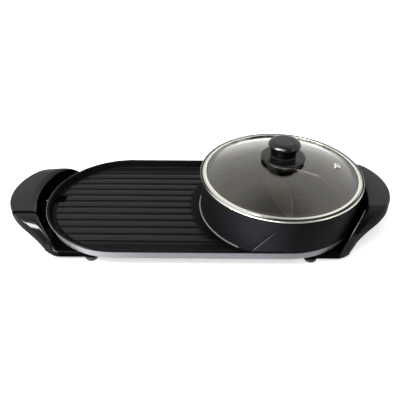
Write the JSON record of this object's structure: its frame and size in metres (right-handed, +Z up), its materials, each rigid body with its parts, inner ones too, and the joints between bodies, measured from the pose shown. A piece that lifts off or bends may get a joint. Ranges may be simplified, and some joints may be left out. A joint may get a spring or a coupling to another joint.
{
  "type": "hot pot grill combo",
  "caption": "Electric table cooker with a ribbed grill and a divided hot pot cast in one pan, a domed glass lid, and a low base with a raised handle at each end.",
  "frame": {"origin": "centre of the footprint on the table, at the bottom of the feet", "axes": "+X along the length, from the grill to the hot pot, +Y to the back, where the inlet is, +Z up"},
  "size_m": [0.571, 0.24, 0.1377],
  "materials": {
    "non_stick_coating": "dark grey textured non-stick coating on die-cast aluminium",
    "silver_paint": "silver-grey painted sheet steel",
    "rubber": "matt black",
    "black_plastic": "gloss black moulded plastic",
    "tray_plastic": "matt black moulded plastic",
    "lid_glass": "clear toughened glass",
    "phenolic": "matt black thermoset",
    "aluminium": "plain rolled sheet",
    "brass": "plain",
    "silicone": "pale silicone",
    "polished_steel": "polished stainless steel",
    "steel": "plain steel"
  },
  "bodies": {
    "base": {"band_screw_left_back": "steel", "band_screw_left_front": "steel", "band_screw_right_back": "steel", "band_screw_right_front": "steel", "base_plate": "steel", "contact_pin_left": "steel", "contact_pin_right": "steel", "cradle_grill_back": "steel", "cradle_grill_end": "steel", "cradle_grill_front": "steel", "cradle_pot_end": "steel", "cradle_pot_front": "steel", "foot_left_back": "rubber", "foot_left_front": "rubber", "foot_right_back": "rubber", "foot_right_front": "rubber", "grill_heater": "steel", "heat_shield": "aluminium", "inlet_housing": "phenolic", "lead_fuse_in": "silicone", "lead_left": "silicone", "lead_right": "silicone", "left_handle": "black_plastic", "plate_screw_left_back": "steel", "plate_screw_left_front": "steel", "plate_screw_right_back": "steel", "plate_screw_right_front": "steel", "pot_heater": "steel", "probe_tube": "steel", "right_handle": "black_plastic", "side_band": "silver_paint", "thermal_fuse": "brass"},
    "pan": {"cooking_pan": "non_stick_coating"},
    "lid": {"lid_glass": "lid_glass", "lid_ring": "polished_steel", "steam_vent": "polished_steel", "lid_collar": "black_plastic", "lid_knob": "black_plastic", "seal_washer": "silicone", "knob_boss": "black_plastic", "knob_screw": "steel"},
    "tray": {"drip_tray": "tray_plastic"}
  },
  "joints": [
    {"name": "pan_lift", "type": "slide", "parent": "base", "child": "pan", "axis": [0, 0, 1], "range_m": [0, 0.08]},
    {"name": "lid_lift", "type": "slide", "parent": "pan", "child": "lid", "axis": [0, 0, 1], "range_m": [0, 0.12]},
    {"name": "tray_slide", "type": "slide", "parent": "base", "child": "tray", "axis": [-1, 0, 0], "range_m": [0, 0.1]}
  ]
}
